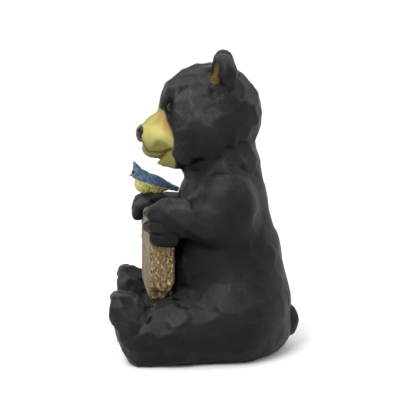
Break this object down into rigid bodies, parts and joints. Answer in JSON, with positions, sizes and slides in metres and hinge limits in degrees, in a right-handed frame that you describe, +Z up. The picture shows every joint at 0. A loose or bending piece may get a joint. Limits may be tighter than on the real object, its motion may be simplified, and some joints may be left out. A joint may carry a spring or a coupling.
{
  "type": "chainsaw carved bear",
  "caption": "Seated black bear statue in chainsaw-carved style, holding a bark-edged wooden sign, a small crested bird perched on its paw.",
  "frame": {"origin": "middle of the bounding box, on the ground under the bear", "axes": "+Z up, the bear looks along -Y, its left side is +X"},
  "size_m": [0.3296, 0.3578, 0.5716],
  "materials": {
    "black_paint": "cast resin with broad gouge facets, satin black paint, honey-yellow muzzle",
    "nose_gloss": "gloss black lacquer on the nose and eyes",
    "sign_wood": "grey-tan sawn face, knobbly yellow-brown bark edge, dark antique wash",
    "bird_paint": "hand-painted blue back, yellow breast, orange-red beak"
  },
  "bodies": {
    "root": {"bear": "black_paint", "sign": "sign_wood", "bird": "bird_paint"}
  },
  "joints": []
}
